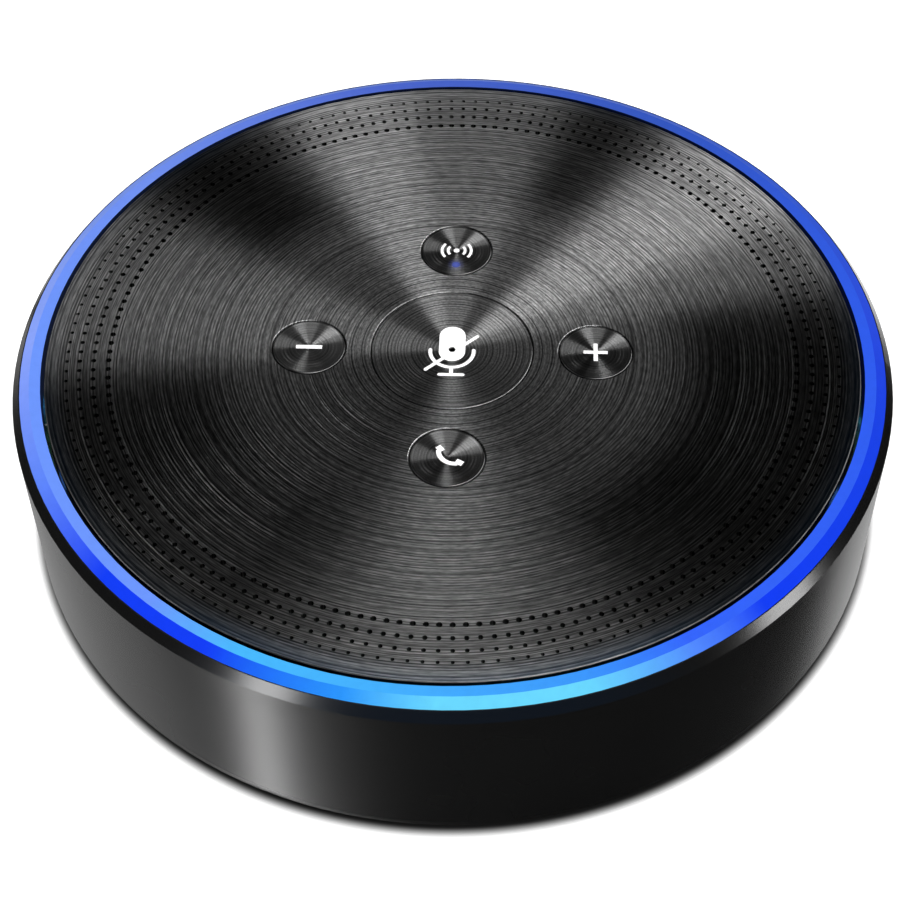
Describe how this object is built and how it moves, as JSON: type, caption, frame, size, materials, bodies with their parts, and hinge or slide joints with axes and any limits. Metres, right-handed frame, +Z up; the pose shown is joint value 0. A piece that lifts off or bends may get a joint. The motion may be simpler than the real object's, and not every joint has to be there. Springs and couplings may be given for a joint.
{
  "type": "conference speakerphone",
  "caption": "Round desk speakerphone puck with a spun metal top, perforated speaker ring, flush press keys, a lit edge ring and rear sockets.",
  "frame": {"origin": "on the table, under the centre of the puck", "axes": "+Z up, -Y towards the user (call key), +Y towards the rear sockets, -X towards the volume down key"},
  "size_m": [0.124, 0.124, 0.0276],
  "materials": {
    "spun_aluminium": "spun in fine circular lines, black anodised",
    "legend_white": "white inlay, flush",
    "status_lens": "blue light pipe",
    "housing_plastic": "satin black",
    "light_ring_blue": "translucent, lit blue from below",
    "base_plastic": "fine texture",
    "foot_rubber": "matte",
    "screw_steel": "black zinc",
    "frame_plastic": "moulded",
    "acoustic_cloth": "fine woven",
    "adhesive_film": "pressure sensitive film",
    "circuit_board": "solder mask",
    "switch_housing": "moulded",
    "plunger_plastic": "moulded",
    "light_emitter": "clear resin",
    "tin_plate": "tin plated",
    "chip_package": "moulded epoxy",
    "battery_pouch": "foil pouch",
    "wire_jacket": "insulated",
    "flex_film": "polyimide film",
    "speaker_steel": "black coated steel",
    "ferrite": "sintered ferrite",
    "cone_paper": "pressed cone",
    "coil_copper": "wound wire"
  },
  "bodies": {
    "housing": {"top_plate": "spun_aluminium", "outer_wall": "housing_plastic", "light_ring": "light_ring_blue", "base_cover": "base_plastic", "foot_ring": "foot_rubber", "mic_boot": "foot_rubber", "speaker_gasket": "foot_rubber", "speaker_surround": "foot_rubber", "base_screws": "screw_steel", "key_board_screws": "screw_steel", "key_guide_screws": "screw_steel", "main_board_screws": "screw_steel", "speaker_screws": "screw_steel", "inner_frame": "frame_plastic", "key_guide": "frame_plastic", "aux_socket": "frame_plastic", "usb_socket_tongue": "frame_plastic", "acoustic_mesh": "acoustic_cloth", "speaker_spider": "acoustic_cloth", "plate_adhesive": "adhesive_film", "key_board": "circuit_board", "led_ring_board": "circuit_board", "main_board": "circuit_board", "key_switch_bodies": "switch_housing", "power_switch_body": "switch_housing", "ring_leds": "light_emitter", "status_led": "light_emitter", "shield_can": "tin_plate", "usb_socket_shell": "tin_plate", "microphone": "tin_plate", "main_chips": "chip_package", "battery_cell": "battery_pouch", "battery_leads": "wire_jacket", "speaker_leads": "wire_jacket", "key_board_flex": "flex_film", "speaker_frame": "speaker_steel", "speaker_yoke": "speaker_steel", "speaker_washer": "speaker_steel", "speaker_magnet": "ferrite"},
    "mute_button": {"mute_key": "spun_aluminium", "mute_legend": "legend_white", "mute_plungers": "plunger_plastic"},
    "volume_down_button": {"volume_down_key": "spun_aluminium", "volume_down_legend": "legend_white", "volume_down_plunger": "plunger_plastic"},
    "volume_up_button": {"volume_up_key": "spun_aluminium", "volume_up_legend": "legend_white", "volume_up_plunger": "plunger_plastic"},
    "pairing_button": {"pairing_key": "spun_aluminium", "pairing_legend": "legend_white", "pairing_plunger": "plunger_plastic", "pairing_lens": "status_lens"},
    "call_button": {"call_key": "spun_aluminium", "call_legend": "legend_white", "call_plunger": "plunger_plastic"},
    "power_button": {"power_key": "frame_plastic", "power_plunger": "plunger_plastic"},
    "speaker_cone_assembly": {"speaker_cone": "cone_paper", "speaker_dust_cap": "cone_paper", "voice_coil": "coil_copper"}
  },
  "joints": [
    {"name": "mute_press", "type": "slide", "parent": "housing", "child": "mute_button", "axis": [0, 0, -1], "range_m": [0, 0.0003], "stiffness_N_per_m": 1000, "springref_m": -0.0005},
    {"name": "volume_down_press", "type": "slide", "parent": "housing", "child": "volume_down_button", "axis": [0, 0, -1], "range_m": [0, 0.0003], "stiffness_N_per_m": 1000, "springref_m": -0.0005},
    {"name": "volume_up_press", "type": "slide", "parent": "housing", "child": "volume_up_button", "axis": [0, 0, -1], "range_m": [0, 0.0003], "stiffness_N_per_m": 1000, "springref_m": -0.0005},
    {"name": "pairing_press", "type": "slide", "parent": "housing", "child": "pairing_button", "axis": [0, 0, -1], "range_m": [0, 0.0003], "stiffness_N_per_m": 1000, "springref_m": -0.0005},
    {"name": "call_press", "type": "slide", "parent": "housing", "child": "call_button", "axis": [0, 0, -1], "range_m": [0, 0.0003], "stiffness_N_per_m": 1000, "springref_m": -0.0005},
    {"name": "power_press", "type": "slide", "parent": "housing", "child": "power_button", "axis": [0, -1, 0], "range_m": [0, 0.0003], "stiffness_N_per_m": 1000, "springref_m": -0.0005},
    {"name": "cone_travel", "type": "slide", "parent": "housing", "child": "speaker_cone_assembly", "axis": [0, 0, 1], "range_m": [-0.0012, 0.0012], "stiffness_N_per_m": 1500, "deforming": ["speaker_surround", "speaker_spider"]}
  ]
}
